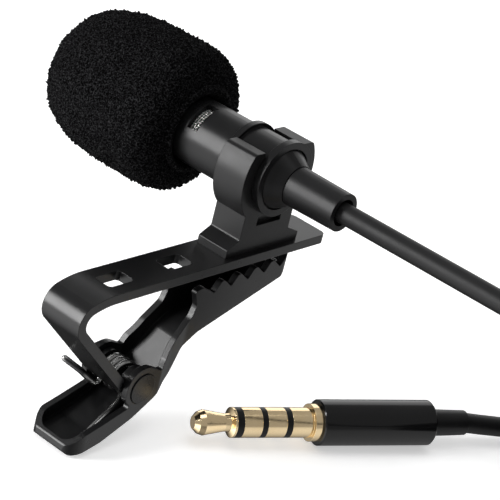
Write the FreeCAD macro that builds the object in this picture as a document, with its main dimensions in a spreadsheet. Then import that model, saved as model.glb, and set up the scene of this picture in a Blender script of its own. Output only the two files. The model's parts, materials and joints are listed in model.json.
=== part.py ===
"""Lavalier microphone on a spring clip, with its foam windscreen, cable and 3.5 mm plug.

Frame: +X runs along the clip's top plate from its bend to its free end, +Y along the
microphone from cable to windscreen, +Z up. The origin is on the plate's underside, straight
below the microphone's axis, where the jaw's teeth press the cloth. Millimetres.
"""
import FreeCAD, Part
import math
import os
import Sketcher

V = FreeCAD.Vector
Y_AXIS = V(0, 1, 0)
Z_AXIS = V(0, 0, 1)

SIZES = {
    # microphone, along its own axis
    "axis_height": 10.4, "tube_radius": 4.0, "tube_wall": 0.65, "tube_front": 17.4,
    "tube_lip": 0.3, "window_back": 7.85, "window_length": 1.5, "window_angle": 58.0,
    "window_start": 98.0, "mesh_wall": 0.14, "flange_radius": 4.55, "flange_width": 0.75,
    "rear_flange_width": 0.9, "groove_radius": 4.1, "housing_bore": 2.4, "recess_radius": 3.73,
    "recess_depth": 0.45, "spigot_length": 3.0, "part_gap": 0.05,
    # capsule and what is beside it
    "capsule_radius": 3.0, "capsule_back": 11.2, "capsule_length": 4.3, "board_thickness": 0.6,
    "felt_thickness": 0.6, "grille_thickness": 0.5, "grille_hole_radius": 0.42,
    "grille_hole_pitch": 1.7, "wire_radius": 0.28, "wire_offset": 0.75,
    # cable exit
    "cone_radius": 3.6, "cone_tip_radius": 2.47, "cone_tip": -4.8, "relief_radius": 2.37,
    "relief_end_radius": 2.27, "relief_end": -11.7, "relief_hole_radius": 1.62,
    "relief_hole_depth": 3.0, "cable_radius": 1.2, "cable_bore_gap": 0.06,
    "crimp_radius": 1.9, "crimp_length": 1.6,
    # windscreen
    "foam_radius": 9.25, "foam_back": 10.0, "foam_front": 30.5, "foam_lip_radius": 4.9,
    "foam_bore_depth": 7.7,
    # collar and its foot
    "collar_radius": 6.08, "collar_gap": 0.06, "collar_length": 4.4, "collar_centre": 0.1,
    "collar_mouth": 6.6, "collar_mouth_shift": -0.2, "collar_tip_height": 3.45, "collar_tip_round": 0.6,
    "neck_width": 8.6, "neck_shift": 0.03, "foot_width": 12.5, "foot_height": 1.03, "foot_slope": 0.9,
    "foot_shift": 0.2, "notch_width": 4.2, "notch_height": 1.2, "notch_depth": 0.6,
    "notch_drop": 5.9, "peg_length": 3.5, "peg_width": 2.1, "peg_depth": 1.0,
    # clip arm
    "strip_thickness": 1.12, "strip_width": 5.64, "plate_end": 11.45, "plate_round": 0.9,
    "bend_radius": 2.42, "bend_ease_radius": 11.7, "bend_reach": 14.02, "slot_length": 3.8,
    "slot_width": 2.45, "slot_round": 0.5, "slot_pitch": 9.45, "slot_first": -21.75,
    # hinge
    "pivot_x": -17.05, "pivot_z": -12.0, "knuckle_radius": 1.96, "knuckle_width": 5.24,
    "pin_radius": 0.8, "pin_gap": 0.05, "pin_head_radius": 1.8, "pin_head_height": 0.32,
    "pin_head_sink": 0.2, "pin_cap_radius": 2.1, "pin_cap_height": 0.7,
    "coil_space_near": -1.5, "coil_space_far": 2.0,
    # jaw
    "jaw_width": 7.0, "jaw_tip_width": 5.2, "jaw_wall": 0.75, "lug_radius": 2.5,
    "tooth_pitch": 2.8, "tooth_depth": 1.3, "tooth_slope": 0.085, "valley_round": 0.25, "peak_round": 0.55, "peak_rise": 0.15,
    "tooth_tip_height": -0.8, "first_valley": -7.13,
    # torsion spring
    "wire_diameter": 0.75, "coil_radius": 1.62, "coil_near": -1.1, "coil_far": 1.9,
    # plug
    "plug_radius": 1.75, "plug_nose": 14.4, "plug_flange_length": 1.0,
    "plug_flange_radius": 2.2, "plug_barrel_length": 14.75, "plug_barrel_radius": 2.68,
    "plug_relief_length": 4.8, "plug_relief_radius": 1.6, "plug_core_radius": 0.5,
    # cable lying free
    "floor": -18.6, "coil_turn_radius": 14.2, "coil_section": 9.8, "coil_lift": 0.6,
    "coil_centre_x": 28.1, "coil_centre_y": -48.0, "tie_width": 4.0, "tie_thickness": 0.5,
    "tie_angle": -30.0,
}

doc = FreeCAD.newDocument("lavalier_microphone")
sheet = doc.addObject("Spreadsheet::Sheet", "Sizes")
for row, (alias, value) in enumerate(SIZES.items(), start=1):
    sheet.set(f"A{row}", alias)
    sheet.set(f"B{row}", str(value))
    sheet.setAlias(f"B{row}", alias)
doc.recompute()
parts = []


def size(expression):
    """The value of an expression that names cells, such as 'tube_radius - tube_wall'."""
    words = expression.replace("(", " ( ").replace(")", " ) ").split()
    text = " ".join("Sizes." + word if word in SIZES else word for word in words)
    return float(sheet.evalExpression(text))


def bind(thing, prop, expression):
    """Bind a property to an expression that names cells."""
    words = expression.replace("(", " ( ").replace(")", " ) ").split()
    thing.setExpression(prop, " ".join("Sizes." + w if w in SIZES else w for w in words))


def finish(thing, label):
    """Give a finished sub-part its name and add it to the list that is written."""
    thing.Label = label
    parts.append(thing)
    return thing


# ---------------------------------------------------------------- sketches and bodies

def new_body(name):
    return doc.addObject("PartDesign::Body", name)


def origin_plane(body, role):
    return next(f for f in body.Origin.OriginFeatures if f.Role == role)


def new_sketch(body, role, edges):
    """A sketch of the given edges on one of the body's own origin planes."""
    sketch = body.newObject("Sketcher::SketchObject", body.Name + "_sketch")
    sketch.AttachmentSupport = [(origin_plane(body, role), "")]
    sketch.MapMode = "FlatFace"
    sketch.addGeometry(edges, False)
    return sketch


def bound_sketch(body, role, outlines):
    """A sketch of straight-sided outlines whose every corner is bound to expressions."""
    sketch = new_sketch(body, role, [])
    for outline in outlines:
        points = [V(size(u), size(v), 0) for u, v in outline]
        first = sketch.GeometryCount
        count = len(points)
        for i, point in enumerate(points):
            sketch.addGeometry(Part.LineSegment(point, points[(i + 1) % count]), False)
        for i, (u, v) in enumerate(outline):
            edge = first + i
            previous = first + (i - 1) % count
            sketch.addConstraint(Sketcher.Constraint("Coincident", previous, 2, edge, 1))
            for kind, text in (("DistanceX", u), ("DistanceY", v)):
                index = sketch.addConstraint(Sketcher.Constraint(kind, edge, 1, size(text)))
                bind(sketch, f"Constraints[{index}]", text)
    return sketch


def outline_edges(corners):
    """Edges of a closed outline of (u, v, rounding) corners."""
    points = [V(u, v, 0) for u, v, _ in corners]
    arcs = []
    for i, (_, _, rounding) in enumerate(corners):
        here = points[i]
        back = (points[i - 1] - here).normalize()
        ahead = (points[(i + 1) % len(points)] - here).normalize()
        if rounding == 0:
            arcs.append((here, None, here))
            continue
        half = back.getAngle(ahead) / 2
        reach = rounding / math.tan(half)
        middle = (back + ahead).normalize() * (rounding / math.sin(half) - rounding)
        arcs.append((here + back * reach, here + middle, here + ahead * reach))
    edges = []
    for i, (start, middle, end) in enumerate(arcs):
        if middle is not None:
            edges.append(Part.Arc(start, middle, end))
        edges.append(Part.LineSegment(end, arcs[(i + 1) % len(arcs)][0]))
    return edges


def padded(name, role, corners, width):
    """A body: a rounded outline padded by width, half to each side of its plane."""
    body = new_body(name)
    pad = body.newObject("PartDesign::Pad", name + "_pad")
    pad.Profile = new_sketch(body, role, outline_edges(corners))
    pad.Midplane = True
    bind(pad, "Length", width)
    return body


def turned(name, outlines, label=None):
    """A body of revolution about the microphone's axis, from outlines of (y, radius)."""
    body = new_body(name)
    turn = body.newObject("PartDesign::Revolution", name + "_turn")
    turn.Profile = bound_sketch(body, "YZ_Plane", outlines)
    turn.ReferenceAxis = (turn.Profile[0], ["H_Axis"])
    turn.Angle = 360
    bind(body, "Placement.Base.z", "axis_height")
    return finish(body, label) if label else body


def ring(back, front, inner, outer):
    """The (y, radius) outline of a plain ring or, with inner '0', a disc."""
    return [[(back, inner), (front, inner), (front, outer), (back, outer)]]


def cylinder(name, radius, length, start, direction=Y_AXIS):
    """A Part cylinder from start along direction, its sizes bound to expressions."""
    solid = doc.addObject("Part::Cylinder", name)
    bind(solid, "Radius", radius)
    bind(solid, "Height", length)
    solid.Placement = FreeCAD.Placement(start, FreeCAD.Rotation(Z_AXIS, direction))
    return solid


def box(name, lengths, corner):
    """A Part box with bound lengths, its low corner at the given point."""
    solid = doc.addObject("Part::Box", name)
    for prop, expression in zip(("Length", "Width", "Height"), lengths):
        bind(solid, prop, expression)
    solid.Placement.Base = corner
    return solid


def fused(name, solids):
    union = doc.addObject("Part::MultiFuse", name)
    union.Shapes = solids
    return union


def cut(name, base, tool):
    result = doc.addObject("Part::Cut", name)
    result.Base = base
    result.Tool = tool
    return result


def common(name, first, second):
    result = doc.addObject("Part::MultiCommon", name)
    result.Shapes = [first, second]
    return result


# ---------------------------------------------------------------- tubes along a route

def tube_path(route):
    """Straight runs joined by tangent arcs, each as large as its two runs allow."""
    points = [V(*point) for point in route]
    edges = []
    radii = []
    start = points[0]
    for i in range(1, len(points) - 1):
        back = points[i - 1] - points[i]
        ahead = points[i + 1] - points[i]
        turn = math.pi - back.getAngle(ahead)
        reach = 0.45 * min(back.Length, ahead.Length)
        radius = reach / math.tan(turn / 2)
        back.normalize()
        ahead.normalize()
        middle = (back + ahead).normalize() * (radius / math.cos(turn / 2) - radius)
        arc_start = points[i] + back * reach
        arc_end = points[i] + ahead * reach
        edges.append(Part.LineSegment(start, arc_start).toShape())
        edges.append(Part.Arc(arc_start, points[i] + middle, arc_end).toShape())
        radii.append(round(radius, 1))
        start = arc_end
    edges.append(Part.LineSegment(start, points[-1]).toShape())
    return Part.Wire(edges), radii


def tube_shape(name, route, radius):
    """A round tube along a route, with its volume compared with section times length."""
    path, radii = tube_path(route)
    direction = V(*route[1]) - V(*route[0])
    circle = Part.Wire(Part.makeCircle(radius, V(*route[0]), direction))
    shape = path.makePipeShell([circle], True, True)
    expected = math.pi * radius ** 2 * path.Length
    if abs(shape.Volume / expected - 1) > 0.01:
        raise RuntimeError(f"{name}: volume {shape.Volume:.2f}, expected {expected:.2f}")
    print(f"{name}: length {path.Length:.1f} mm, arc radii {radii}")
    return shape


def shape_part(label, shape):
    """A sub-part whose shape is set directly."""
    feature = doc.addObject("Part::Feature", label)
    feature.Shape = shape
    return finish(feature, label)


# ---------------------------------------------------------------- microphone

def front_flange_face():
    return "collar_centre + collar_length / 2 + part_gap + flange_width"


def make_housing():
    """Grooved housing: thin front flange, groove for the collar, thick rear flange."""
    groove_back = "collar_centre - collar_length / 2 - part_gap"
    groove_front = "collar_centre + collar_length / 2 + part_gap"
    back = groove_back + " - rear_flange_width"
    front = groove_front + " + flange_width"
    spigot = "tube_radius - tube_wall - part_gap / 2"
    turned("Housing", [[
        (back, "recess_radius"), (back, "flange_radius"), (groove_back, "flange_radius"),
        (groove_back, "groove_radius"), (groove_front, "groove_radius"),
        (groove_front, "flange_radius"), (front, "flange_radius"), (front, spigot),
        (front + " + spigot_length", spigot), (front + " + spigot_length", "housing_bore"),
        (back + " + recess_depth", "housing_bore"), (back + " + recess_depth", "recess_radius"),
    ]], "mic_housing")


def make_sleeve():
    """Front tube with a lip that holds the grille and two windows in its wall."""
    inner = "tube_radius - tube_wall"
    tube = turned("SleeveTube", [[
        (front_flange_face(), inner), (front_flange_face(), "tube_radius"),
        ("tube_front - tube_lip", "tube_radius"), ("tube_front", "tube_radius - tube_lip"),
        ("tube_front", inner + " - tube_lip"), ("tube_front - tube_lip", inner + " - tube_lip"),
        ("tube_front - tube_lip", inner),
    ]])
    sectors = []
    for side in range(2):
        sector = cylinder(f"WindowSector{side}", "tube_radius + 1", "window_length",
                          V(0, size("window_back + window_length"), size("axis_height")))
        bind(sector, "Angle", "window_angle")
        start = size("window_start") + 180 * side
        turn = FreeCAD.Rotation(Y_AXIS, -start)
        lay = FreeCAD.Rotation(V(1, 0, 0), 90)
        sector.Placement.Rotation = turn * lay
        sectors.append(sector)
    finish(cut("SleeveCut", tube, fused("Windows", sectors)), "mic_sleeve")


def make_inner_parts():
    """Window mesh, front grille, felt, capsule, its gasket and board, and its wires."""
    bore = "tube_radius - tube_wall"
    fit = bore + " - part_gap / 2"
    turned("Mesh", ring("window_back - 0.6", "window_back + window_length + 0.6",
                        fit + " - mesh_wall", fit), "window_mesh")
    capsule_front = "capsule_back + capsule_length"
    turned("Capsule", ring("capsule_back", capsule_front, "0", "capsule_radius"),
           "electret_capsule")
    turned("Gasket", ring("capsule_back + 0.3", capsule_front + " - 0.3",
                          "capsule_radius + part_gap / 2", fit), "capsule_gasket")
    turned("Board", ring("capsule_back - part_gap - board_thickness",
                         "capsule_back - part_gap", "0", "capsule_radius"), "capsule_board")
    grille_back = "tube_front - tube_lip - grille_thickness"
    turned("Felt", ring(grille_back + " - part_gap - felt_thickness",
                        grille_back + " - part_gap", "0", fit), "felt_disc")
    grille = turned("GrilleDisc", ring(grille_back, "tube_front - tube_lip", "0", fit))
    holes = []
    for i in range(7):
        angle = math.radians(60 * i)
        pitch = size("grille_hole_pitch") if i else 0
        start = V(pitch * math.cos(angle), size(grille_back) - 1,
                  size("axis_height") + pitch * math.sin(angle))
        holes.append(cylinder(f"GrilleHole{i}", "grille_hole_radius", "4", start))
    finish(cut("GrilleCut", grille, fused("GrilleHoles", holes)), "front_grille")
    board_back = "capsule_back - part_gap - board_thickness"
    wires = []
    for side in (-1, 1):
        start = V(side * size("wire_offset"), 0.6, size("axis_height"))
        wires.append(cylinder(f"Wire{side + 1}", "wire_radius", board_back + " - 0.65", start))
    finish(fused("Wires", wires), "signal_wires")


def make_cable_exit():
    """Rear cone, hollow-ended strain relief, and the cable's end with its crimp inside."""
    recess = "collar_centre - collar_length / 2 - part_gap - rear_flange_width + recess_depth"
    bore = "cable_radius + cable_bore_gap"
    turned("Cone", [[
        (recess, "cone_radius"), (recess + " - 0.35", "cone_radius"),
        ("cone_tip", "cone_tip_radius"), ("cone_tip", bore), (recess + " + 1.4", bore),
        (recess + " + 1.4", "housing_bore - part_gap"), (recess, "housing_bore - part_gap"),
    ]], "rear_cone")
    relief_front = "cone_tip - part_gap"
    hole_end = "relief_end + relief_hole_depth"
    turned("Relief", [[
        (relief_front, bore), (relief_front, "relief_radius"),
        ("relief_end", "relief_end_radius"), ("relief_end", "relief_hole_radius"),
        (hole_end, "relief_hole_radius"), (hole_end, bore),
    ]], "strain_relief")
    turned("InnerCable", ring(hole_end + " + part_gap", "0.55", "0", "cable_radius"),
           "inner_cable")
    turned("Crimp", ring("0.5 - crimp_length", "0.5", "cable_radius + 0.02", "crimp_radius"),
           "cable_crimp")


def make_windscreen():
    """Egg-shaped foam cover with a bore that the sleeve fits."""
    radius = size("foam_radius")
    back = size("foam_back")
    front = size("foam_front")
    bore = size("tube_radius + part_gap")
    widest = back + 0.31 * (front - back)
    bulge = 3.5

    def radius_at(share):
        return radius * (1 - share ** bulge) ** (1 / bulge)

    rear = [V(widest - share * (widest - back), radius_at(share), 0)
            for share in (0.96, 0.82, 0.55)]
    ahead = [V(widest + share * (front - widest), radius_at(share), 0)
             for share in (0.3, 0.55, 0.78, 0.93, 1.0)]
    curve = Part.BSplineCurve()
    curve.interpolate([V(back, size("foam_lip_radius"), 0), *rear, V(widest, radius, 0), *ahead])
    bottom = back + size("foam_bore_depth")
    edges = [
        curve,
        Part.LineSegment(V(front, 0, 0), V(bottom, 0, 0)),
        Part.LineSegment(V(bottom, 0, 0), V(bottom, bore, 0)),
        Part.LineSegment(V(bottom, bore, 0), V(back, bore, 0)),
        Part.LineSegment(V(back, bore, 0), V(back, size("foam_lip_radius"), 0)),
    ]
    body = new_body("Foam")
    turn = body.newObject("PartDesign::Revolution", "Foam_turn")
    turn.Profile = new_sketch(body, "YZ_Plane", edges)
    turn.ReferenceAxis = (turn.Profile[0], ["H_Axis"])
    turn.Angle = 360
    bind(body, "Placement.Base.z", "axis_height")
    finish(body, "windscreen")


# ---------------------------------------------------------------- holder and clip

def make_holder():
    """C-shaped collar open at the top, on a neck and a sloped foot with a square peg."""
    top = size("strip_thickness")
    height = size("axis_height")
    half_foot = size("foot_width") / 2
    half_neck = size("neck_width") / 2
    shift = size("foot_shift")
    neck = size("neck_shift")
    step = top + size("foot_height")
    neck_foot = step + size("foot_slope")
    waist = height - 4.1
    foot = padded("Foot", "XZ_Plane", [
        (shift - half_foot, top, 0), (shift + half_foot, top, 0),
        (shift + half_foot, step, 0.15), (neck + half_neck, neck_foot, 0.3),
        (neck + half_neck, waist, 0), (neck - half_neck, waist, 0),
        (neck - half_neck, neck_foot, 0.3), (shift - half_foot, step, 0.15),
    ], "collar_length")
    bind(foot, "Placement.Base.y", "collar_centre")
    back = size("collar_centre - collar_length / 2")
    barrel = cylinder("CollarBarrel", "collar_radius", "collar_length", V(0, back, height))
    bore = cylinder("CollarBore", "groove_radius + collar_gap", "collar_length + 2",
                    V(0, back - 1, height))
    half_mouth = size("collar_mouth") / 2
    mouth = box("CollarMouth", ("collar_mouth", "collar_length + 2", "collar_radius"),
                V(size("collar_mouth_shift") - half_mouth, back - 1, height))
    above = box("CollarTop", ("3 * collar_radius", "collar_length + 2", "collar_radius"),
                V(-1.5 * size("collar_radius"), back - 1, height + size("collar_tip_height")))
    notch = box("Notch", ("notch_width", "2 * notch_depth", "notch_height"),
                V(shift - size("notch_width") / 2, back - size("notch_depth"),
                  height - size("notch_drop")))
    solid = cut("HolderCut", fused("HolderUnion", [foot, barrel]),
                fused("HolderTools", [bore, mouth, above, notch]))
    doc.recompute()
    rounded = doc.addObject("Part::Fillet", "HolderRounded")
    rounded.Base = solid
    tip = size("axis_height + collar_tip_height")
    outer = math.sqrt(size("collar_radius") ** 2 - size("collar_tip_height") ** 2)
    rounds = []
    for i, edge in enumerate(solid.Shape.Edges, start=1):
        centre = edge.CenterOfMass
        along = abs(centre.y - size("collar_centre")) < 0.1
        if along and abs(centre.z - tip) < 0.01 and abs(abs(centre.x) - outer) < 0.05:
            rounds.append((i, size("collar_tip_round"), size("collar_tip_round")))
    if len(rounds) != 2:
        raise RuntimeError(f"collar tips: {len(rounds)} edges to round, expected 2")
    rounded.Edges = rounds
    middle = size("slot_first + 2 * slot_pitch")
    half_peg = size("peg_length") / 2
    half_wide = size("peg_width") / 2
    peg = padded("Peg", "XY_Plane", [
        (middle - half_peg, -half_wide, 0.45), (middle + half_peg, -half_wide, 0.45),
        (middle + half_peg, half_wide, 0.45), (middle - half_peg, half_wide, 0.45),
    ], "2 * peg_depth")
    bind(peg, "Placement.Base.z", "strip_thickness")
    finish(fused("Holder", [rounded, peg]), "mic_holder")


def strip_outline():
    """Side outline of the bent strip: plate, easy curve, tight bend, leg to the hinge."""
    top = size("strip_thickness")
    thick = size("strip_thickness")
    bend = size("bend_radius")
    ease = size("bend_ease_radius")
    down = V(1, -1, 0).normalize()
    inward = V(1, 1, 0).normalize()
    pivot = V(size("pivot_x"), size("pivot_z"), 0)
    offset = bend - size("knuckle_radius")
    centre = pivot - down * size("bend_reach") + inward * offset
    rise = top - centre.y - ease
    ease_x = centre.x + math.sqrt((ease - bend) ** 2 - rise ** 2)
    ease_centre = V(ease_x, top - ease, 0)
    tangent = math.atan2(centre.y - ease_centre.y, centre.x - ease_centre.x)
    foot = pivot - inward * size("knuckle_radius")

    def arc(middle, radius, start, end):
        def at(angle):
            return middle + V(math.cos(angle), math.sin(angle), 0) * radius
        return Part.Arc(at(start), at((start + end) / 2), at(end))

    leg_angle = math.radians(225)
    edges = []
    ends = []
    for inset in (0, thick):
        start = V(size("plate_end"), top - inset, 0)
        easy = arc(ease_centre, ease - inset, math.pi / 2, tangent)
        tight = arc(centre, bend - inset, tangent, leg_angle)
        finish_point = foot + inward * inset
        edges += [Part.LineSegment(start, V(ease_x, top - inset, 0)), easy, tight,
                  Part.LineSegment(centre - inward * (bend - inset), finish_point)]
        ends.append((start, finish_point))
    edges.append(Part.LineSegment(ends[0][0], ends[1][0]))
    edges.append(Part.LineSegment(ends[0][1], ends[1][1]))
    return edges


def make_arm():
    """Upper clip arm: bent strip with three holes, rolled into knuckles at the hinge."""
    body = new_body("Strip")
    pad = body.newObject("PartDesign::Pad", "Strip_pad")
    pad.Profile = new_sketch(body, "XZ_Plane", strip_outline())
    pad.Midplane = True
    bind(pad, "Length", "strip_width")
    doc.recompute()
    before = body.Shape.Volume
    holes = []
    half_length = size("slot_length") / 2
    half_width = size("slot_width") / 2
    rounding = size("slot_round")
    for i in range(3):
        x = size("slot_first") + i * size("slot_pitch")
        holes += outline_edges([
            (x - half_length, -half_width, rounding), (x + half_length, -half_width, rounding),
            (x + half_length, half_width, rounding), (x - half_length, half_width, rounding)])
    pocket = body.newObject("PartDesign::Pocket", "Strip_holes")
    pocket.Profile = new_sketch(body, "XY_Plane", holes)
    pocket.Midplane = True
    bind(pocket, "Length", "3 * strip_thickness")
    doc.recompute()
    hole_area = 4 * half_length * half_width - (4 - math.pi) * rounding ** 2
    taken = before - body.Shape.Volume
    if abs(taken - 3 * hole_area * size("strip_thickness")) > 0.01 * taken:
        raise RuntimeError(f"plate holes took {taken:.2f} mm3")
    end_round = body.newObject("PartDesign::Fillet", "Strip_end")
    tips = [f"Edge{i}" for i, e in enumerate(body.Shape.Edges, start=1)
            if abs(e.CenterOfMass.x - size("plate_end")) < 0.01
            and abs(abs(e.CenterOfMass.y) - size("strip_width") / 2) < 0.01]
    end_round.Base = (pocket, tips)
    bind(end_round, "Radius", "plate_round")

    pivot_x = size("pivot_x")
    pivot_z = size("pivot_z")
    half = size("knuckle_width") / 2
    knuckle = cylinder("Knuckle", "knuckle_radius", "knuckle_width", V(pivot_x, -half, pivot_z))
    coil_space = cylinder("CoilSpace", "knuckle_radius + 0.3", "coil_space_far - coil_space_near",
                          V(pivot_x, size("coil_space_near"), pivot_z))
    bore = cylinder("KnuckleBore", "pin_radius + pin_gap", "jaw_width",
                    V(pivot_x, -size("jaw_width") / 2, pivot_z))
    lug_spaces = [cylinder(f"LugSpace{i}", "lug_radius + 0.5", "1", V(pivot_x, y, pivot_z))
                  for i, y in enumerate((half, -half - 1))]
    finish(cut("ArmCut", fused("ArmUnion", [body, knuckle]),
               fused("ArmTools", [coil_space, bore, *lug_spaces])), "clip_arm")


def tooth_line(x):
    """Height of the line along the tips of the teeth."""
    return size("tooth_tip_height") + size("tooth_slope") * x


def jaw_side():
    """Side outline of the jaw: finger pad, hinge lug, and the toothed front."""
    px = size("pivot_x")
    pz = size("pivot_z")
    lug = size("lug_radius")
    top = pz + lug + 0.1
    # underside, from the pad's end to the tip
    outline = [
        (-26.75, -18.45, 0.5), (-22.2, -17.45, 4), (-17.8, -15.65, 4), (-14.9, -13.9, 3),
        (-12.35, -11.75, 4), (-10.85, -8.8, 1.5), (-8.6, -7.4, 3), (4.8, -3.2, 0.8),
        (5.8, -1.85, 1.0), (5.55, -0.5, 0.15),
    ]
    # teeth, from the tip back to the first
    outline.append((5.2, tooth_line(5.2), 0.1))
    for i in reversed(range(5)):
        valley = size("first_valley") + i * size("tooth_pitch")
        outline.append((valley, tooth_line(valley) - size("tooth_depth"), size("valley_round")))
        if i:
            peak = valley - size("tooth_pitch") + 1.1
            outline.append((peak, tooth_line(peak) + size("peak_rise"), size("peak_round")))
    outline += [
        # the first tooth's shoulder, then the slope down to the hinge
        (-9.2, tooth_line(-9.2) + 0.05, 0.5), (-10.5, tooth_line(-10.5) - 0.1, 0.3),
        (-9.7, -3.8, 1.0), (-10.1, -5.2, 1.5), (-12.3, -7.3, 4), (-13.9, -9.3, 1.0),
        (-14.4, -10.4, 0.3),
        # over the lug and down to the pad
        (px + 0.5, top, 1.4), (px - lug, top, 2.3), (px - lug, pz - 1.05, 1.2),
        (px - 1.25, pz - 2.0, 0.35), (-22.5, -15.2, 3), (-25.0, -15.85, 1.2),
        (-26.6, -17.25, 0.4),
    ]
    return outline


def jaw_floor_side():
    """Side outline of the space between the jaw's walls, above its floor."""
    wall = size("jaw_wall")
    ceiling = 5.0
    return [
        (-26.2, -17.5, 0.2), (-22.45, -16.8, 3), (-18.1, -15.08, 3.2), (-14.75, -13.12, 2),
        (-10.75, -7.95, 2), (-8.5, -7.38 + wall, 3), (4.4, -3.2 + wall, 0.5),
        (4.85, -1.6, 0), (4.85, ceiling, 0), (-26.2, ceiling, 0),
    ]


def jaw_plan(inset, end, tip):
    """Plan outline of the jaw, narrowing from the hinge to the toothed end."""
    wide = size("jaw_width") / 2 - inset
    narrow = size("jaw_tip_width") / 2 - inset
    corner = 1.3 if inset == 0 else 0.6
    half = [(end, corner + 0.9, wide), (-14.3, 0.8, wide), (-13.0, 3, narrow + 0.35),
            (-10.6, 5, narrow), (tip, corner, narrow)]
    low = [(x, -y, r) for x, r, y in half]
    high = [(x, y, r) for x, r, y in reversed(half)]
    return low + high


def make_jaw():
    """Lower jaw: a channel with a finger pad, two hinge lugs and toothed side walls."""
    outer = common("JawOuter", padded("JawSide", "XZ_Plane", jaw_side(), "jaw_width"),
                   padded("JawPlan", "XY_Plane", jaw_plan(0, -26.8, 5.85), "60"))
    inner = common("JawInner",
                   padded("JawSpaceSide", "XZ_Plane", jaw_floor_side(), "jaw_width"),
                   padded("JawSpacePlan", "XY_Plane",
                          jaw_plan(size("jaw_wall"), -26.2, 4.85), "60"))
    x = size("pivot_x")
    z = size("pivot_z")
    half = size("jaw_width") / 2
    bore = cylinder("LugBore", "pin_radius + 0.02", "jaw_width + 2", V(x, -half - 1, z))
    sink = cylinder("HeadSink", "pin_head_radius + 0.08", "1",
                    V(x, size("pin_head_sink") - half - 1, z))
    finish(cut("JawCut", outer, fused("JawTools", [inner, bore, sink])), "clip_jaw")


def make_pin():
    """Hinge pin with a head at the cable side, and the cap riveted on its other end."""
    x = size("pivot_x")
    z = size("pivot_z")
    seat = size("pin_head_sink - jaw_width / 2")
    head = cylinder("PinHead", "pin_head_radius", "pin_head_height",
                    V(x, seat - size("pin_head_height"), z))
    shaft = cylinder("PinShaft", "pin_radius",
                     "jaw_width - pin_head_sink + pin_cap_height - 0.1", V(x, seat, z))
    finish(fused("Pin", [head, shaft]), "pivot_pin")
    far = size("jaw_width / 2 + 0.02")
    disc = cylinder("CapDisc", "pin_cap_radius", "pin_cap_height", V(x, far, z))
    hole = cylinder("CapHole", "pin_radius + 0.02", "pin_cap_height", V(x, far - 0.1, z))
    doc.recompute()
    rounded = doc.addObject("Part::Fillet", "CapRounded")
    rounded.Base = disc
    rims = [i for i, e in enumerate(disc.Shape.Edges, start=1)
            if abs(e.CenterOfMass.y - far - size("pin_cap_height")) < 0.01]
    rounded.Edges = [(i, 0.3, 0.3) for i in rims]
    finish(cut("Cap", rounded, hole), "pin_cap")


# The spring's legs: from the coil's near end onto the pad, and from its far end round the
# far lug to a free end that bears on the arm's outer face.
PAD_LEG = [(-16.75, -0.73, -13.59), (-18.3, -1.5, -14.6), (-23.0, -2.3, -16.3)]
ARM_LEG = [(-17.6, 1.5, -13.52), (-19.45, 1.6, -13.38), (-20.2, 3.0, -12.4),
           (-21.0, 5.0, -11.65)]


def make_spring():
    """Torsion spring: the coil's envelope and its two legs."""
    x = size("pivot_x")
    z = size("pivot_z")
    wire = size("wire_diameter") / 2
    radius = size("coil_radius")
    near = size("coil_near")
    far = size("coil_far")
    start = V(x, near, z)
    coil = Part.makeCylinder(radius + wire, far - near, start, Y_AXIS)
    coil = coil.cut(Part.makeCylinder(radius - wire, far - near, start, Y_AXIS))
    shapes = [coil]
    for leg in (PAD_LEG, ARM_LEG):
        points = [V(*point) for point in leg]
        for begin, end in zip(points, points[1:]):
            run = end - begin
            shapes.append(Part.makeCylinder(wire, run.Length, begin, run))
        shapes += [Part.makeSphere(wire, point) for point in points[1:]]
    shape_part("torsion_spring", shapes[0].multiFuse(shapes[1:]).removeSplitter())


# ---------------------------------------------------------------- plug

PLUG_TIP = V(-11.5, -7.2, 0)
PLUG_WAY = V(0.887, -0.4618, 0).normalize()
# along the plug from its tip: end of each contact and of the insulating ring behind it
PLUG_STEPS = [("plug_tip", 4.85, 5.70), ("plug_ring_1", 7.95, 8.65), ("plug_ring_2", 11.0, 11.75)]


def plug_point(along):
    height = size("floor + plug_barrel_radius")
    return PLUG_TIP + PLUG_WAY * along + V(0, 0, height)


def plug_body(name, outline, label=None):
    """A body turned about the plug's axis, from an outline of (distance, radius)."""
    body = new_body(name)
    turn = body.newObject("PartDesign::Revolution", name + "_turn")
    turn.Profile = bound_sketch(body, "XY_Plane", [outline])
    turn.ReferenceAxis = (turn.Profile[0], ["H_Axis"])
    turn.Angle = 360
    body.Placement = FreeCAD.Placement(plug_point(0), FreeCAD.Rotation(V(1, 0, 0), PLUG_WAY))
    return finish(body, label) if label else body


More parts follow.
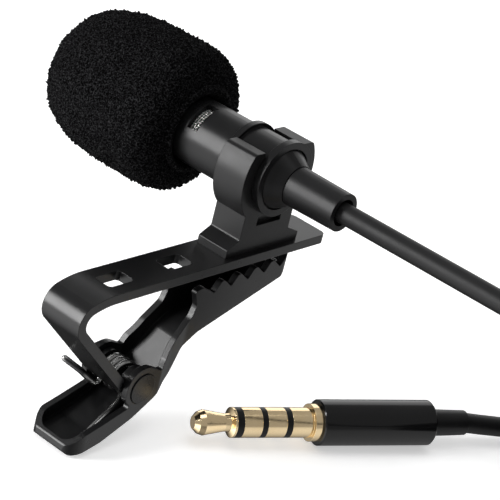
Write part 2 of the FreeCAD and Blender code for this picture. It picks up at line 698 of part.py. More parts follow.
def make_plug():
    """Four-contact 3.5 mm plug: contacts on a core, insulating rings, barrel, relief."""
    core = "plug_core_radius"
    full = "plug_radius"
    tip_end = str(PLUG_STEPS[0][1])
    plug_body("PlugTip", [
        ("0", "0"), ("0", "0.75"), ("0.5", "1.25"), ("1.15", "1.48"), ("1.9", "1.35"),
        ("3.7", "1.04"), ("4.35", "1.06"), ("4.6", full), (tip_end, full), (tip_end, core),
        ("plug_nose", core), ("plug_nose", "0"),
    ], "plug_tip")
    rings = []
    for i, (name, end, ring_end) in enumerate(PLUG_STEPS):
        start = str(PLUG_STEPS[i - 1][2]) if i else None
        if start:
            plug_body(name.title(), [(start, core), (str(end), core), (str(end), full),
                                     (start, full)], name)
        rings.append(plug_body(f"Insulator{i}", [
            (str(end), core), (str(ring_end), core), (str(ring_end), full), (str(end), full)]))
    finish(fused("Insulators", rings), "plug_insulators")
    sleeve_start = str(PLUG_STEPS[-1][2])
    shoulder = "plug_nose + plug_flange_length"
    plug_body("PlugSleeve", [
        (sleeve_start, core), ("plug_nose", core), (shoulder, core),
        (shoulder, "plug_flange_radius"), ("plug_nose", "plug_flange_radius"),
        ("plug_nose", full), (sleeve_start, full)], "plug_sleeve")
    barrel_end = shoulder + " + plug_barrel_length"
    radius = "plug_barrel_radius"
    hollow = "plug_barrel_radius - 0.7"
    plug_body("PlugBarrel", [
        (shoulder, "1"), (shoulder, radius + " - 0.15"), (shoulder + " + 0.15", radius),
        (barrel_end + " - 0.25", radius), (barrel_end, radius + " - 0.25"),
        (barrel_end, "plug_relief_radius + 0.05"),
        (barrel_end + " - 1.2", "plug_relief_radius + 0.05"),
        (barrel_end + " - 1.2", hollow), (shoulder + " + 1", hollow), (shoulder + " + 1", "1"),
    ], "plug_barrel")
    relief_end = barrel_end + " + plug_relief_length"
    plug_body("PlugRelief", [
        (barrel_end + " - 1.2", "cable_radius"), (barrel_end + " - 1.2", "plug_relief_radius"),
        (barrel_end, "plug_relief_radius"), (relief_end, "plug_relief_radius - 0.12"),
        (relief_end, "cable_radius"),
    ], "plug_relief")
    plug_body("PlugInner", [
        (shoulder + " + 1.6", "0"), (relief_end + " - part_gap", "0"),
        (relief_end + " - part_gap", "cable_radius - 0.02"),
        (shoulder + " + 1.6", "cable_radius - 0.02"),
    ], "plug_cable_end")


# ---------------------------------------------------------------- cable

# Route points by hand. The first is in the strain relief, the last is in the coil's top.
LEAD_ROUTE = [(0, -8.75, 10.4), (0, -38, 10.4), (0.8, -52, -4.5), (9.5, -58, -9.0),
              (20, -64, -9.3), (27.5, -65.3, -9.6)]
# From the coil's bottom turns straight to the plug.
TAIL_ROUTE = [(43, -39, -16.6), (37.9, -32.9, -16.9), (28.5, -28.03, -17.2),
              (19.5, -23.34, -15.92)]


def make_cable():
    """Free cable: lead, neat coil with its tie, and tail to the plug."""
    radius = size("cable_radius")
    relief_end = plug_point(size("plug_nose + plug_flange_length + plug_barrel_length")
                            + size("plug_relief_length"))
    tail = TAIL_ROUTE[:-1] + [(relief_end.x, relief_end.y, relief_end.z)]
    shape_part("cord_lead", tube_shape("cord_lead", LEAD_ROUTE, radius))
    shape_part("cord_tail", tube_shape("cord_tail", tail, radius))
    middle = size("coil_turn_radius")
    section = size("coil_section")
    bottom = size("floor + coil_lift")
    centre = V(size("coil_centre_x"), size("coil_centre_y"), bottom)
    half = section / 2
    profile = outline_edges([
        (middle - half, 0, 1.4), (middle + half, 0, 1.4),
        (middle + half, section, 1.4), (middle - half, section, 1.4)])
    body = new_body("CoilRing")
    turn = body.newObject("PartDesign::Revolution", "CoilRing_turn")
    turn.Profile = new_sketch(body, "XZ_Plane", profile)
    turn.ReferenceAxis = (turn.Profile[0], ["V_Axis"])
    turn.Angle = 360
    body.Placement.Base = centre
    finish(body, "cord_coil")
    gap = size("part_gap")
    thick = size("tie_thickness")
    tie = new_body("Tie")
    pad = tie.newObject("PartDesign::Pad", "Tie_pad")
    inner = half + gap
    outer = inner + thick
    edges = []
    for reach, rounding in ((inner, 1.35), (outer, 1.7)):
        edges += outline_edges([(-reach, half - reach, rounding), (reach, half - reach, rounding),
                                (reach, half + reach, rounding), (-reach, half + reach, rounding)])
    pad.Profile = new_sketch(tie, "XZ_Plane", edges)
    pad.Midplane = True
    bind(pad, "Length", "tie_width")
    way = math.radians(size("tie_angle"))
    place = centre + V(math.cos(way), math.sin(way), 0) * middle
    tie.Placement = FreeCAD.Placement(place, FreeCAD.Rotation(Z_AXIS, math.degrees(way)))
    finish(tie, "cord_tie")


# ---------------------------------------------------------------- build and write

def check_and_write():
    doc.recompute()
    faults = [f"{o.Name}: {o.State}" for o in doc.Objects
              if "Invalid" in o.State or "Error" in o.State]
    faults += [f"{p.Label}: bad shape" for p in parts if p.Shape.isNull() or not p.Shape.isValid()]
    if faults:
        raise RuntimeError("; ".join(faults))
    os.makedirs("parts", exist_ok=True)
    for part in parts:
        part.Shape.exportStep(f"parts/{part.Label}.step")
    print(f"{len(parts)} sub-parts written")


make_housing()
make_sleeve()
make_inner_parts()
make_cable_exit()
make_windscreen()
make_holder()
make_arm()
make_jaw()
make_pin()
make_spring()
make_plug()
make_cable()
check_and_write()
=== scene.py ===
import json
import math

import bpy
from mathutils import Matrix, Vector, noise


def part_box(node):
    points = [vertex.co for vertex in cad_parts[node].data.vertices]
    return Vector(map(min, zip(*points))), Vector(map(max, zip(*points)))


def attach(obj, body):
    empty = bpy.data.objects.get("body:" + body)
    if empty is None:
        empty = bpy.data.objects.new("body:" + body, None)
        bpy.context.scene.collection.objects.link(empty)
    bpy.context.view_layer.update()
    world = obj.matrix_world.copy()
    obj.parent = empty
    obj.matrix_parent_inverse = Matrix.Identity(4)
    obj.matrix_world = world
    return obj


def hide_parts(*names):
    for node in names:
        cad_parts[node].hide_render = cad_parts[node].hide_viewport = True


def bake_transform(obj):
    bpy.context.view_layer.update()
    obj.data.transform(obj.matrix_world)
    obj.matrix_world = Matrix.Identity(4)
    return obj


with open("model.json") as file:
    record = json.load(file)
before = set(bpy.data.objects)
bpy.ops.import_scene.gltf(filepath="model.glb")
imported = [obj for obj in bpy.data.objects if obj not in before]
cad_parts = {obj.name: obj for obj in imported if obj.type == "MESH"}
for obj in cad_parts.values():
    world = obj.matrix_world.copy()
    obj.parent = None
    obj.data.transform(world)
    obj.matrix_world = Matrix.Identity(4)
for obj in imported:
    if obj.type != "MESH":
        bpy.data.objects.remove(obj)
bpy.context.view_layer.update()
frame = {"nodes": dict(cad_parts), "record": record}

# The looks of a clip-on microphone: its cable, foam, spring wire and window mesh, the materials
# of every piece, the stage and its light. Lengths are in millimetres unless they carry MM.

MM = 0.001


def mm(*values):
    """A point given in millimetres, in metres."""
    return Vector(values) * MM


# ---------------------------------------------------------------- places from the frame

tube_low, tube_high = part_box("mic_sleeve")
AXIS_Z = (tube_low.z + tube_high.z) / 2
TUBE_RADIUS = (tube_high.x - tube_low.x) / 2
FLOOR_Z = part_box("plug_barrel")[0].z
CAMERA_TARGET = Vector((0, 0, AXIS_Z))


# ---------------------------------------------------------------- camera

CAMERA_AWAY = Vector((-0.7529, -0.5366, 0.3811)).normalized()
CAMERA_DISTANCE = 0.2268
CAMERA_ROLL = math.radians(14.42)
LENS = 145.0
LOOK_AT = mm(-2.7, -2.7, 1.9)


def make_camera():
    """A long lens on the cable's side, above the finger pad and a little tilted."""
    data = bpy.data.cameras.new("camera")
    data.sensor_width = 36
    data.lens = LENS
    data.clip_start = 0.01
    data.clip_end = 20
    camera = bpy.data.objects.new("camera", data)
    bpy.context.scene.collection.objects.link(camera)
    camera.location = CAMERA_TARGET + CAMERA_AWAY * CAMERA_DISTANCE
    aim = (LOOK_AT - camera.location).to_track_quat("-Z", "Y")
    roll = Matrix.Rotation(CAMERA_ROLL, 4, "Z")
    camera.matrix_world = Matrix.Translation(camera.location) @ aim.to_matrix().to_4x4() @ roll
    bpy.context.scene.camera = camera


make_camera()


# ---------------------------------------------------------------- cable

CABLE_RADIUS = 1.2
LEAD = [(0, -8.75, 10.4), (0, -30, 10.4), (0, -38, 10.4), (0.8, -52, -4.5), (9.5, -58, -9.0),
        (20, -64, -9.3)]
TAIL = [(37.9, -32.9, -16.9), (28.5, -28.03, -17.2), (19.5, -23.34, -15.92)]
COIL_RADIUS = 14.2
COIL_PITCH = 2.45
COIL_START = math.radians(-120)
COIL_TURNS = 15.45
COIL_STACK = 4
COIL_STEP = 25 / 360
COIL_OVAL = 0.02
POINTS_PER_TURN = 20
coil_low, coil_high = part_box("cord_coil")
COIL_CENTRE = (coil_low + coil_high) / 2 / MM
tie_low, tie_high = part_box("cord_tie")
tie_place = (tie_low + tie_high) / 2 / MM - COIL_CENTRE
TIE_ANGLE = math.atan2(tie_place.y, tie_place.x)


def coil_slots():
    """(column, row) of each turn: along the top row from outside in, then back, and so on."""
    slots = []
    for row in range(COIL_STACK):
        columns = range(COIL_STACK) if row % 2 == 0 else reversed(range(COIL_STACK))
        slots += [(column, row) for column in columns]
    return slots


def coil_points():
    """The coil's turns. Each turn keeps its place in the stack, then steps to the next one.

    Steps come earlier round the ring for each lower row, so that no two cross. The ring is
    slightly oval, longest through the tie.
    """
    slots = coil_slots()
    middle = (COIL_STACK - 1) / 2
    steps = [k - COIL_STEP * (slots[k - 1][1] + slots[k][1] + 1) for k in range(1, len(slots))]
    points = []
    for i in range(1, round(COIL_TURNS * POINTS_PER_TURN) + 1):
        turn = i / POINTS_PER_TURN
        column, row = slots[0]
        for k, begin in enumerate(steps, start=1):
            share = min(max((turn - begin) / COIL_STEP, 0), 1)
            column += share * (slots[k][0] - slots[k - 1][0])
            row += share * (slots[k][1] - slots[k - 1][1])
        angle = COIL_START + math.tau * turn
        radius = COIL_RADIUS + (middle - column) * COIL_PITCH
        radius *= 1 - COIL_OVAL * math.sin(angle - TIE_ANGLE) ** 2
        radius /= math.cos(math.pi / POINTS_PER_TURN)
        height = (middle - row) * COIL_PITCH
        points.append(COIL_CENTRE + Vector((radius * math.cos(angle),
                                            radius * math.sin(angle), height)))
    return points


def make_cable():
    """The whole cable as one spline. Its thickness is on the points, in metres."""
    route = [Vector(p) for p in LEAD] + coil_points() + [Vector(p) for p in TAIL]
    data = bpy.data.curves.new("cable", "CURVE")
    data.dimensions = "3D"
    data.bevel_depth = 1.0
    data.bevel_resolution = 6
    data.use_fill_caps = True
    data.resolution_u = 8
    spline = data.splines.new("NURBS")
    spline.points.add(len(route) - 1)
    for point, place in zip(spline.points, route):
        point.co = (*(place * MM), 1)
        point.radius = CABLE_RADIUS * MM
    spline.order_u = 3
    spline.use_endpoint_u = True
    cable = bpy.data.objects.new("cable", data)
    bpy.context.scene.collection.objects.link(cable)
    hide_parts("cord_lead", "cord_coil", "cord_tail")
    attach(cable, "clip")
    return cable


cable = make_cable()


# ---------------------------------------------------------------- mesh helpers

CAP_TURNS = [math.radians(turn) for turn in (35, 65, 85)]


def mesh_object(name, vertices, faces):
    mesh = bpy.data.meshes.new(name)
    mesh.from_pydata([tuple(v) for v in vertices], [], faces)
    mesh.validate()
    mesh.update()
    for polygon in mesh.polygons:
        polygon.use_smooth = True
    thing = bpy.data.objects.new(name, mesh)
    bpy.context.scene.collection.objects.link(thing)
    return thing


def tube_along(points, radius, sides, closed=False):
    """Vertices and faces of a round tube along points, with rounded ends if it isn't closed."""
    count = len(points)
    rings = []
    normal = None
    for i, point in enumerate(points):
        if closed:
            ahead = points[(i + 1) % count] - points[i - 1]
        else:
            ahead = points[min(i + 1, count - 1)] - points[max(i - 1, 0)]
        ahead.normalize()
        if normal is None:
            normal = ahead.orthogonal().normalized()
        normal = (normal - ahead * normal.dot(ahead)).normalized()
        rings.append((point, normal.copy(), ahead.cross(normal), radius, ahead))
    if not closed:
        for end, sign in ((0, -1), (-1, 1)):
            point, side, other, _, ahead = rings[end]
            caps = [(point + ahead * (sign * radius * math.sin(angle)), side, other,
                     radius * math.cos(angle), ahead) for angle in CAP_TURNS]
            rings = caps[::-1] + rings if end == 0 else rings + caps
    vertices = []
    for point, side, other, reach, _ in rings:
        for j in range(sides):
            angle = math.tau * j / sides
            vertices.append(point + (side * math.cos(angle) + other * math.sin(angle)) * reach)
    faces = []
    last = len(rings) if closed else len(rings) - 1
    for i in range(last):
        a = i * sides
        b = (i + 1) % len(rings) * sides
        for j in range(sides):
            k = (j + 1) % sides
            faces.append((a + j, a + k, b + k, b + j))
    if not closed:
        faces.append(tuple(range(sides))[::-1])
        top = (len(rings) - 1) * sides
        faces.append(tuple(top + j for j in range(sides)))
    return vertices, faces


def gather(pieces):
    """One list of vertices and faces from several."""
    vertices = []
    faces = []
    for part_vertices, part_faces in pieces:
        shift = len(vertices)
        vertices += part_vertices
        faces += [tuple(i + shift for i in face) for face in part_faces]
    return vertices, faces


# ---------------------------------------------------------------- windscreen

FOAM_BORE_GAP = 0.06
FOAM_BORE_DEPTH = 7.6
# the bore's mouth, as (distance ahead of the foam's back, radius past the bore): it opens
# like a funnel and rolls over into a soft raised ring
FOAM_MOUTH = [(1.4, 0.04), (1.0, 0.15), (0.6, 0.32), (0.25, 0.5), (0.05, 0.72), (0, 0.95),
              (0.07, 1.2), (0.28, 1.36), (0.5, 1.5), (0.55, 1.75)]
# where along its length the foam is widest, and how square its rear and front are
FOAM_WIDEST = 0.31
FOAM_REAR_POWER = 3.67
FOAM_FRONT_POWER = 3.43
FOAM_CENTRE = Vector((0, 19.0, 0))
# the cover sits a little high on the tube and to one side
FOAM_SHIFT = Vector((0.12, 0, 0.2))
foam_low, foam_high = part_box("windscreen")
FOAM_BACK = foam_low.y / MM
FOAM_FRONT = foam_high.y / MM
FOAM_RADIUS = (foam_high.z - foam_low.z) / 2 / MM


def quarter(power, steps):
    """(along, across) of a quarter superellipse, from its widest ring to its pole."""
    angles = [math.pi / 2 * i / steps for i in range(steps + 1)]
    return [(math.sin(a) ** (2 / power), math.cos(a) ** (2 / power)) for a in angles]


def foam_profile():
    """(distance along the axis, radius) of the foam's skin, from the bore's floor outwards."""
    bore = TUBE_RADIUS / MM + FOAM_BORE_GAP
    floor_y = FOAM_BACK + FOAM_BORE_DEPTH
    profile = [(floor_y, bore * share) for share in (0.0, 0.3, 0.6, 0.9)]
    profile += [(FOAM_BACK + 7.5 - 0.35 * i, bore) for i in range(17)]
    profile += [(FOAM_BACK + ahead, bore + past) for ahead, past in FOAM_MOUTH]
    widest = FOAM_BACK + FOAM_WIDEST * (FOAM_FRONT - FOAM_BACK)
    past_mouth = bore + 2.1
    rear_length = widest - FOAM_BACK - 0.1
    for along, across in reversed(quarter(FOAM_REAR_POWER, 60)[:-1]):
        if FOAM_RADIUS * across > past_mouth:
            profile.append((widest - rear_length * along, FOAM_RADIUS * across))
    for along, across in quarter(FOAM_FRONT_POWER, 90)[1:-1]:
        profile.append((widest + (FOAM_FRONT - widest) * along, FOAM_RADIUS * across))
    profile.append((FOAM_FRONT, 0.0))
    return profile


def resample(profile, step):
    """Points at equal steps along a profile."""
    result = [profile[0]]
    left = step
    for (a, b), (c, d) in zip(profile, profile[1:]):
        length = math.hypot(c - a, d - b)
        at = left
        while at <= length:
            share = at / length
            result.append((a + (c - a) * share, b + (d - b) * share))
            at += step
        left = at - length
    result.append(profile[-1])
    return result


def turned(profile, around):
    """Vertices and faces of a profile turned round the microphone's axis, closed at its ends.

    Every other ring is turned by half a step, so that its points don't line up.
    """
    rings = [(y, radius) for y, radius in profile if radius > 0.02]
    vertices = [Vector((0, profile[0][0], 0))]
    for i, (y, radius) in enumerate(rings):
        for j in range(around):
            angle = math.tau * (j + 0.5 * (i % 2)) / around
            vertices.append(Vector((radius * math.cos(angle), y, radius * math.sin(angle))))
    vertices.append(Vector((0, profile[-1][0], 0)))
    faces = []
    for i in range(len(rings) - 1):
        a = 1 + i * around
        b = a + around
        for j in range(around):
            k = (j + 1) % around
            faces.append((a + j, b + j, b + k, a + k))
    top = 1 + (len(rings) - 1) * around
    for j in range(around):
        k = (j + 1) % around
        faces.append((0, 1 + j, 1 + k))
        faces.append((len(vertices) - 1, top + k, top + j))
    return vertices, faces


def broken_up(point):
    """Where a point of the smooth skin lies once the foam's cells break the skin up."""
    past_bore = math.hypot(point.x, point.z) - TUBE_RADIUS / MM - 0.3
    if past_bore < 0 and point.y < FOAM_BACK + 8:
        return point
    cell = noise.noise(point * 2.1, noise_basis="VORONOI_F2F1")
    fine = noise.noise(point * 4.7 + Vector((7, 3, 1)))
    lump = noise.noise(point * 0.45)
    amount = 0.26 * (cell - 0.35) + 0.10 * fine + 0.10 * lump
    if past_bore < 1.3 and point.y < FOAM_BACK + 0.7:
        amount *= 0.35
    away = (point - FOAM_CENTRE).normalized()
    return point + away * amount + FOAM_SHIFT * min(1, max(0, past_bore))


def make_windscreen():
    """Open-cell foam: a turned form whose skin is broken up by its cells."""
    step = 0.16
    around = 340
    vertices, faces = turned(resample(foam_profile(), step), around)
    on_axis = Vector((0, 0, AXIS_Z))
    thing = mesh_object("windscreen_foam", [broken_up(v) * MM + on_axis for v in vertices], faces)
    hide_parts("windscreen")
    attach(thing, "foam")
    return thing


windscreen = make_windscreen()


# ---------------------------------------------------------------- spring

SPRING_WIRE_RADIUS = 0.375
SPRING_RADIUS = 1.62
SPRING_NEAR = -0.73
SPRING_FAR = 1.5
SPRING_START = math.radians(-79.3)
SPRING_SWEEP = math.radians(2 * 360 + 274)
SPRING_STEPS = 110
# the leg that lies on the jaw's pad, from its end to the coil
PAD_LEG = [(-23.0, -2.3, -16.3), (-20.65, -1.9, -15.45), (-18.3, -1.5, -14.6),
           (-17.4, -1.08, -14.05)]
# the leg that hooks over the arm's strip, from the coil to its end
ARM_LEG = [(-18.53, 1.52, -13.1), (-18.8, 1.55, -13.34), (-19.25, 1.62, -13.4),
           (-19.75, 2.05, -12.98), (-20.2, 3.0, -12.4), (-20.6, 4.0, -12.02),
           (-21.0, 5.0, -11.65)]


def make_spring():
    """Torsion spring of round wire: a close coil round the pin and its two legs."""
    pin_low, pin_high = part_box("pivot_pin")
    centre = (pin_low + pin_high) / 2 / MM
    coil = []
    for i in range(SPRING_STEPS + 1):
        share = i / SPRING_STEPS
        angle = SPRING_START + SPRING_SWEEP * share
        coil.append((centre.x + SPRING_RADIUS * math.cos(angle),
                     SPRING_NEAR + (SPRING_FAR - SPRING_NEAR) * share,
                     centre.z + SPRING_RADIUS * math.sin(angle)))
    path = [mm(*place) for place in PAD_LEG + coil + ARM_LEG]
    thing = mesh_object("torsion_spring_wire", *tube_along(path, SPRING_WIRE_RADIUS * MM, 16))
    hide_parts("torsion_spring")
    return thing


spring = make_spring()


# ---------------------------------------------------------------- window mesh

MESH_WIRE_RADIUS = 0.045 * MM
MESH_PITCH = 0.34 * MM
MESH_INSET = 0.075 * MM


def make_window_mesh():
    """Woven wire mesh inside the tube: straight wires and hoops over and under each other."""
    low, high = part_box("window_mesh")
    middle = (high.x - low.x) / 2 - MESH_INSET
    count = 2 * round(math.pi * middle / MESH_PITCH)
    rows = int((high.y - low.y) / MESH_PITCH)
    start = (low.y + high.y) / 2 - (rows - 1) / 2 * MESH_PITCH

    def wire(places, closed=False):
        """A wire through (angle, y, side), a side being 1 outside, -1 inside, 0 between."""
        points = []
        for angle, y, side in places:
            reach = middle + side * MESH_WIRE_RADIUS
            points.append(Vector((reach * math.cos(angle), y, AXIS_Z + reach * math.sin(angle))))
        return tube_along(points, MESH_WIRE_RADIUS, 6, closed)

    wires = []
    for i in range(count):
        places = []
        for j in range(2 * rows + 1):
            crossing = (j - 1) // 2 + i
            side = 0 if j % 2 == 0 else (1 if crossing % 2 else -1)
            places.append((math.tau * i / count, start + (j - 1) / 2 * MESH_PITCH, side))
        wires.append(wire(places))
    for j in range(rows):
        places = []
        for i in range(2 * count):
            side = 0 if i % 2 else (-1 if (i // 2 + j) % 2 else 1)
            places.append((math.tau * i / (2 * count), start + j * MESH_PITCH, side))
        wires.append(wire(places, closed=True))
    thing = mesh_object("window_mesh_wires", *gather(wires))
    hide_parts("window_mesh")
    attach(thing, "mic")
    return thing


window_mesh = make_window_mesh()


# ---------------------------------------------------------------- materials

class Nodes:
    """A material's node tree with a Principled shader, built up by short calls."""

    def __init__(self, name):
        self.material = bpy.data.materials.new(name)
        self.material.use_nodes = True
        self.tree = self.material.node_tree
        self.shader = self.tree.nodes["Principled BSDF"]
        self.place = self.new("ShaderNodeTexCoord").outputs["Object"]

    def new(self, kind, **values):
        node = self.tree.nodes.new(kind)
        for name, value in values.items():
            setattr(node, name, value)
        return node

    def link(self, source, target):
        self.tree.links.new(source, target)

    def noise(self, scale, detail=2.0, roughness=0.5, distortion=0.0):
        node = self.new("ShaderNodeTexNoise")
        node.inputs["Scale"].default_value = scale
        node.inputs["Detail"].default_value = detail
        node.inputs["Roughness"].default_value = roughness
        node.inputs["Distortion"].default_value = distortion
        self.link(self.place, node.inputs["Vector"])
        return node.outputs["Fac"]

    def cells(self, scale, feature="F1"):
        node = self.new("ShaderNodeTexVoronoi", feature=feature)
        node.inputs["Scale"].default_value = scale
        node.inputs["Randomness"].default_value = 1.0
        self.link(self.place, node.inputs["Vector"])
        return node.outputs["Distance"]

    def ramp(self, source, *stops):
        """Stops of (position, colour), a colour being three numbers or one grey."""
        node = self.new("ShaderNodeValToRGB")
        elements = node.color_ramp.elements
        while len(elements) < len(stops):
            elements.new(0.5)
        for element, (position, colour) in zip(elements, stops):
            element.position = position
            shade = (colour,) * 3 if isinstance(colour, (int, float)) else colour
            element.color = (*shade, 1)
        self.link(source, node.inputs["Fac"])
        return node.outputs["Color"]

    def span(self, source, low, high, start=0.0, end=1.0):
        """Maps source from start..end to low..high."""
        node = self.new("ShaderNodeMapRange")
        for name, value in (("From Min", start), ("From Max", end),
                            ("To Min", low), ("To Max", high)):
            node.inputs[name].default_value = value
        self.link(source, node.inputs["Value"])
        return node.outputs["Result"]

    def maths(self, operation, a, b):
        node = self.new("ShaderNodeMath", operation=operation)
        for socket, value in zip(node.inputs, (a, b)):
            if isinstance(value, (int, float)):
                socket.default_value = value
            else:
                self.link(value, socket)
        return node.outputs["Value"]

    def mix(self, share, a, b):
        """A colour between a and b."""
        node = self.new("ShaderNodeMix", data_type="RGBA")
        self.link(share, node.inputs["Factor"])
        for socket, value in ((node.inputs[6], a), (node.inputs[7], b)):
            if isinstance(value, tuple):
                socket.default_value = (*value, 1)
            else:
                self.link(value, socket)
        return node.outputs[2]

    def bump(self, height, distance, strength=1.0, base=None):
        node = self.new("ShaderNodeBump")
        node.inputs["Strength"].default_value = strength
        node.inputs["Distance"].default_value = distance
        self.link(height, node.inputs["Height"])
        if base is not None:
            self.link(base, node.inputs["Normal"])
        return node.outputs["Normal"]

    def bevel(self, radius):
        node = self.new("ShaderNodeBevel", samples=6)
        node.inputs["Radius"].default_value = radius
        return node.outputs["Normal"]

    def set(self, **values):
        """Shader inputs by name, a plain value or a socket."""
        for name, value in values.items():
            socket = self.shader.inputs[name.replace("_", " ")]
            if isinstance(value, bpy.types.NodeSocket):
                self.link(value, socket)
            elif isinstance(value, tuple):
                socket.default_value = (*value, 1)
            else:
                socket.default_value = value
        return self.material


def plastic(name, dark, light, rough_low, rough_high, edge, shine=0.22, grain=0.004,
            grain_scale=9000):
    """Black plastic, rubber or satin paint: fine grain, faint marks, softly broken edges."""
    n = Nodes(name)
    cloud = n.noise(260, detail=4)
    fine = n.noise(grain_scale, detail=2)
    marks = n.noise(1400, detail=6, roughness=0.7, distortion=0.6)
    colour = n.mix(cloud, dark, light)
    rough = n.span(n.maths("ADD", n.maths("MULTIPLY", cloud, 0.5),
                           n.maths("MULTIPLY", marks, 0.5)), rough_low, rough_high, 0.3, 0.7)
    base = n.bevel(edge * MM) if edge else None
    normal = n.bump(fine, grain * MM, 0.6, base)
    return n.set(Base_Color=colour, Roughness=rough, Normal=normal, Specular_IOR_Level=shine)


def metal(name, colour, other, rough_low, rough_high, edge=0.0):
    """Drawn or turned metal: a fine change of roughness and a slight colour drift."""
    n = Nodes(name)
    fine = n.noise(4000, detail=3)
    cloud = n.noise(500, detail=3)
    shade = n.mix(cloud, colour, other)
    rough = n.span(fine, rough_low, rough_high, 0.3, 0.7)
    normal = n.bump(fine, 0.002 * MM, 0.5, n.bevel(edge * MM) if edge else None)
    n.shader.inputs["Metallic"].default_value = 1.0
    return n.set(Base_Color=shade, Roughness=rough, Normal=normal)


def spring_material():
    """Drawn spring wire, bright where it is coiled, with a painted dark reflection along its
    hooked end.
    """
    n = Nodes("spring_steel")
    fine = n.noise(4000, detail=3)
    cloud = n.noise(500, detail=3)
    spot = n.new("ShaderNodeSeparateXYZ")
    n.link(n.place, spot.inputs["Vector"])
    # painted dark reflection: the hooked leg's colour darkens from y 2.1 to 4.6 mm and lightens
    # again at its tip
    painted_dark_on_hook = n.ramp(n.span(spot.outputs["Y"], 0.0, 1.0, 0.0, 6 * MM),
                  (0.35, 0.0), (0.42, 1.0), (0.76, 1.0), (0.86, 0.1))
    bright = n.mix(cloud, (0.42, 0.42, 0.42), (0.34, 0.34, 0.33))
    n.shader.inputs["Metallic"].default_value = 1.0
    return n.set(Base_Color=n.mix(painted_dark_on_hook, bright, (0.055, 0.055, 0.057)),
                 Roughness=n.span(fine, 0.2, 0.27, 0.3, 0.7))


def foam_material():
    """Black open-cell foam: painted shade in the pores and painted highlights on the thin struts.
    """
    n = Nodes("foam_black")
    strut = n.cells(2300, "DISTANCE_TO_EDGE")
    small = n.cells(4200, "DISTANCE_TO_EDGE")
    speck = n.noise(5200, detail=2)
    wall = n.ramp(strut, (0.0, 1.0), (0.10, 0.55), (0.3, 0.0))
    thin = n.ramp(small, (0.0, 1.0), (0.08, 0.3), (0.2, 0.0))
    lit = n.maths("MULTIPLY", n.maths("MAXIMUM", wall, n.maths("MULTIPLY", thin, 0.6)),
                  n.span(speck, 0.0, 1.0, 0.42, 0.66))
    # painted light: near black in the pores for their shade, lighter on the struts where the
    # speck noise lets them catch the light
    colour = n.mix(lit, (0.0004, 0.0004, 0.0005), (0.03, 0.03, 0.0315))
    rough = n.span(lit, 0.95, 0.55)
    normal = n.bump(lit, 0.12 * MM, 0.9)
    return n.set(Base_Color=colour, Roughness=rough, Normal=normal, Specular_IOR_Level=0.03)


def felt_material():
    """Black felt: short tangled fibres."""
    n = Nodes("felt")
    fibre = n.noise(5000, detail=5, roughness=0.8, distortion=2.0)
    colour = n.mix(fibre, (0.01, 0.01, 0.01), (0.06, 0.06, 0.06))
    return n.set(Base_Color=colour, Roughness=n.span(fibre, 0.8, 1.0),
                 Normal=n.bump(fibre, 0.08 * MM))


def board_material():
    """Green circuit board with tinned pads."""
    n = Nodes("board_green")
    weave = n.noise(3000, detail=3)
    pads = n.ramp(n.cells(900), (0.0, 1.0), (0.22, 1.0), (0.26, 0.0))
    colour = n.mix(pads, n.mix(weave, (0.0, 0.09, 0.03), (0.01, 0.16, 0.06)), (0.5, 0.5, 0.46))
    return n.set(Base_Color=colour, Roughness=n.span(weave, 0.25, 0.4))


MATERIALS = {
    "clip_black": plastic("clip_black", (0.004, 0.004, 0.0043), (0.007, 0.007, 0.0074),
                          0.26, 0.33, 0.10, shine=0.32),
    "holder_black": plastic("holder_black", (0.005, 0.005, 0.0053), (0.008, 0.008, 0.0084),
                            0.32, 0.40, 0.10, shine=0.24),
    "pin_black": plastic("pin_black", (0.005, 0.005, 0.0053), (0.009, 0.009, 0.0094),
                         0.24, 0.34, 0.10),
    "mic_black": plastic("mic_black", (0.005, 0.005, 0.0053), (0.007, 0.007, 0.0074),
                         0.26, 0.33, 0.08),
    "spring_steel": spring_material(),
    "mesh_steel": metal("mesh_steel", (0.85, 0.85, 0.84), (0.7, 0.7, 0.69), 0.2, 0.35),
    "felt": felt_material(),
    "capsule_metal": metal("capsule_metal", (0.7, 0.7, 0.69), (0.6, 0.6, 0.6), 0.2, 0.35),
    "gasket_rubber": plastic("gasket_rubber", (0.006, 0.006, 0.006), (0.01, 0.01, 0.01),
                             0.6, 0.75, 0.0),
    "board_green": board_material(),
    "wire_insulation": plastic("wire_insulation", (0.4, 0.02, 0.015), (0.5, 0.03, 0.02),
                               0.35, 0.45, 0.0, shine=0.5),
    "crimp_brass": metal("crimp_brass", (0.75, 0.52, 0.24), (0.62, 0.42, 0.18), 0.25, 0.4),
    "foam_black": foam_material(),
    "cable_black": plastic("cable_black", (0.006, 0.006, 0.0063), (0.009, 0.009, 0.0094),
                           0.44, 0.54, 0.0, grain=0.006, grain_scale=5200),
    "relief_rubber": plastic("relief_rubber", (0.005, 0.005, 0.0053), (0.008, 0.008, 0.0084),
                             0.34, 0.44, 0.08),
    "tie_black": plastic("tie_black", (0.008, 0.008, 0.0085), (0.014, 0.014, 0.0145),
                         0.5, 0.62, 0.08, grain=0.02, grain_scale=3000),
    "plug_gold": metal("plug_gold", (1.0, 0.80, 0.50), (0.94, 0.72, 0.42), 0.10, 0.2,
                         edge=0.06),
    "plug_black": plastic("plug_black", (0.004, 0.004, 0.004), (0.007, 0.007, 0.007),
                          0.3, 0.4, 0.0),
    "barrel_black": plastic("barrel_black", (0.003, 0.003, 0.0033), (0.006, 0.006, 0.0063),
                            0.10, 0.17, 0.08, shine=0.35),
}


def paint(thing, material):
    """Give every slot of a piece the same material."""
    if not thing.material_slots:
        thing.data.materials.append(material)
    for slot in thing.material_slots:
        slot.link = "OBJECT"
        slot.material = material


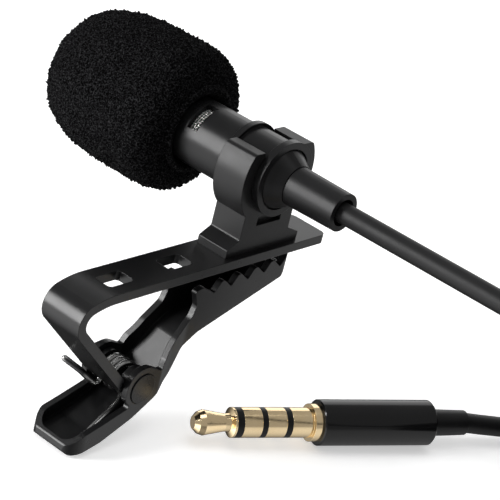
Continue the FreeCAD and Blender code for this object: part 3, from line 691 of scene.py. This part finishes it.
def paint_all():
    """The record's material for each CAD piece, and the same ones for the drawn pieces."""
    for part in frame["record"]["subparts"]:
        thing = frame["nodes"].get(part["node"])
        if thing:
            paint(thing, MATERIALS[part["material_slot"]])
    paint(cable, MATERIALS["cable_black"])
    paint(windscreen, MATERIALS["foam_black"])
    paint(spring, MATERIALS["spring_steel"])
    paint(window_mesh, MATERIALS["mesh_steel"])


paint_all()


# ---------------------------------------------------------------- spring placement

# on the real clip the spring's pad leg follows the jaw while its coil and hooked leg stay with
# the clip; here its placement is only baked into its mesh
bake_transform(spring)


# ---------------------------------------------------------------- floor and light

FLOOR_REACH = 3.0
FLOOR_GAP = 0.1 * MM


def make_floor():
    """White paper that glows a little, so that it shows white, and doesn't mirror in the part."""
    corners = [(-1, -1), (1, -1), (1, 1), (-1, 1)]
    floor = mesh_object("floor", [Vector((x * FLOOR_REACH, y * FLOOR_REACH, FLOOR_Z - FLOOR_GAP))
                                  for x, y in corners], [(0, 1, 2, 3)])
    n = Nodes("floor_paper")
    grain = n.noise(400, detail=4)
    n.set(Base_Color=n.mix(grain, (0.88, 0.88, 0.88), (0.92, 0.92, 0.92)),
          Roughness=n.span(grain, 0.85, 0.95), Emission_Color=(1.0, 1.0, 1.0),
          Emission_Strength=0.45)
    paint(floor, n.material)
    floor.visible_glossy = False


def area_light(name, place, size, power):
    """A rectangular lamp of (width, height) aimed at the microphone."""
    data = bpy.data.lights.new(name, "AREA")
    data.shape = "RECTANGLE"
    data.size, data.size_y = size
    data.energy = power
    lamp = bpy.data.objects.new(name, data)
    bpy.context.scene.collection.objects.link(lamp)
    lamp.location = place
    lamp.rotation_euler = (CAMERA_TARGET - Vector(place)).to_track_quat("-Z", "Y").to_euler()


def make_world():
    """A dim grey surround with two glows below the horizon, the wider on the cable's side."""
    world = bpy.data.worlds.new("studio")
    world.use_nodes = True
    tree = world.node_tree
    way = tree.nodes.new("ShaderNodeTexCoord").outputs["Generated"]

    def maths(operation, a, b):
        node = tree.nodes.new("ShaderNodeMath")
        node.operation = operation
        for socket, value in zip(node.inputs, (a, b)):
            if isinstance(value, float):
                socket.default_value = value
            else:
                tree.links.new(value, socket)
        return node.outputs["Value"]

    def glow(direction, power, strength):
        """Strength towards a direction, falling off with a power of the cosine."""
        node = tree.nodes.new("ShaderNodeVectorMath")
        node.operation = "DOT_PRODUCT"
        tree.links.new(way, node.inputs[0])
        node.inputs[1].default_value = Vector(direction).normalized()
        cosine = maths("MAXIMUM", node.outputs["Value"], 0.0)
        return maths("MULTIPLY", maths("POWER", cosine, power), strength)

    axes = tree.nodes.new("ShaderNodeSeparateXYZ")
    tree.links.new(way, axes.inputs["Vector"])
    down = maths("MAXIMUM", maths("MULTIPLY", axes.outputs["Z"], -1.0), 0.0)
    below = maths("MINIMUM", maths("MULTIPLY", down, 8.0), 1.0)
    lower = maths("ADD", glow((-0.8, 0.4, -0.3), 4.0, 2.8), glow((0.5, -0.8, -0.3), 2.0, 0.95))
    upper = maths("MULTIPLY", maths("SUBTRACT", 1.0, below), 0.3)
    total = maths("ADD", maths("ADD", upper, 0.05), maths("MULTIPLY", lower, below))
    background = tree.nodes["Background"]
    background.inputs["Color"].default_value = (1, 1, 1, 1)
    tree.links.new(total, background.inputs["Strength"])
    bpy.context.scene.world = world


def make_light():
    """Soft light from above, a tall narrow softbox for the highlights, and a wide fill."""
    area_light("overhead", place=(0.0, 0.0, 1.2), size=(0.8, 0.8), power=3.5)
    area_light("key", place=(-0.369, 0.243, 0.126), size=(0.15, 0.33), power=2.8)
    area_light("fill", place=(0.60, 0.43, 0.27), size=(1.0, 0.6), power=2.0)


make_floor()
make_world()
make_light()
view = bpy.context.scene.view_settings
view.view_transform = "Standard"
view.look = "None"
